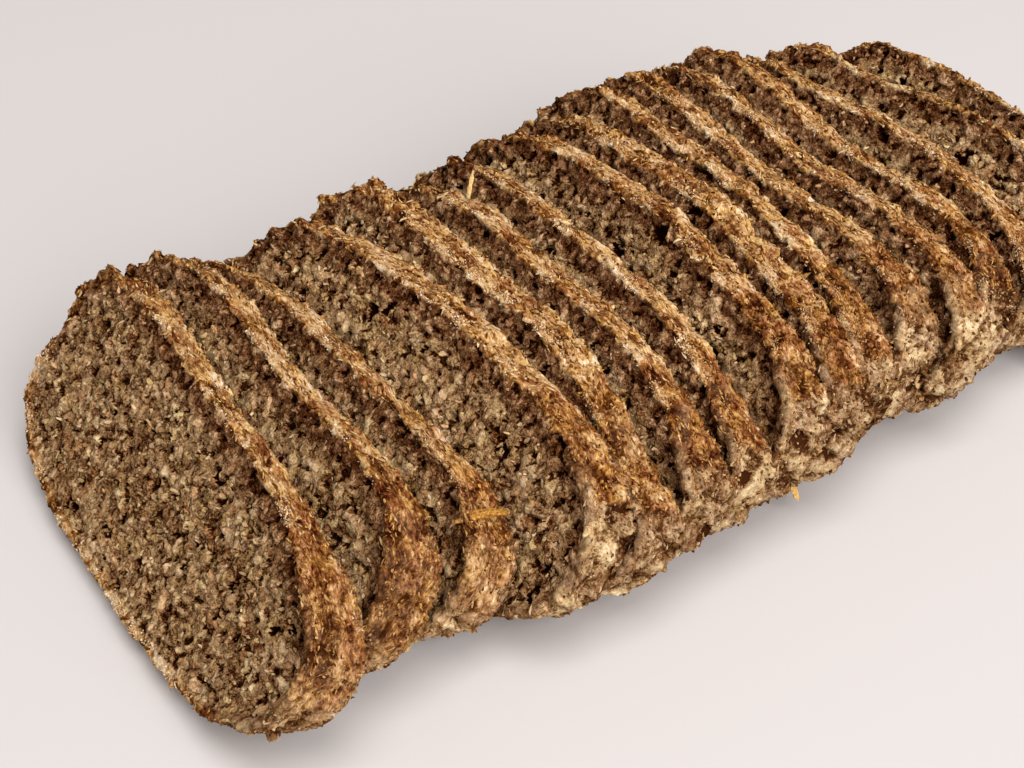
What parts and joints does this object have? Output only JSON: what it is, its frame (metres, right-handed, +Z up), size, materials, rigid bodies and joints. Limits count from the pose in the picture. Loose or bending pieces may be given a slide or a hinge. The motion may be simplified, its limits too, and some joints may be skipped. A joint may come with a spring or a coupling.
{
  "type": "sliced oat bread loaf",
  "caption": "Low, wide oat bread loaf cut into thin slices that lean back in a row, for serving.",
  "frame": {"origin": "middle of the row's footprint, on the surface that it stands on", "axes": "+X along the row from the front slice to the last, +Y towards the slices' left ends as seen from the front, +Z up"},
  "size_m": [0.272, 0.1384, 0.0474],
  "materials": {
    "oat_bread": "matt, porous baked crumb with a browned, flaky crust"
  },
  "bodies": {
    "root": {"slice_01": "oat_bread", "slice_02": "oat_bread", "slice_03": "oat_bread", "slice_04": "oat_bread", "slice_05": "oat_bread", "slice_06": "oat_bread", "slice_07": "oat_bread", "slice_08": "oat_bread", "slice_09": "oat_bread", "slice_10": "oat_bread", "slice_11": "oat_bread", "slice_12": "oat_bread", "slice_13": "oat_bread", "slice_14": "oat_bread", "slice_15": "oat_bread", "slice_16": "oat_bread"}
  },
  "joints": []
}
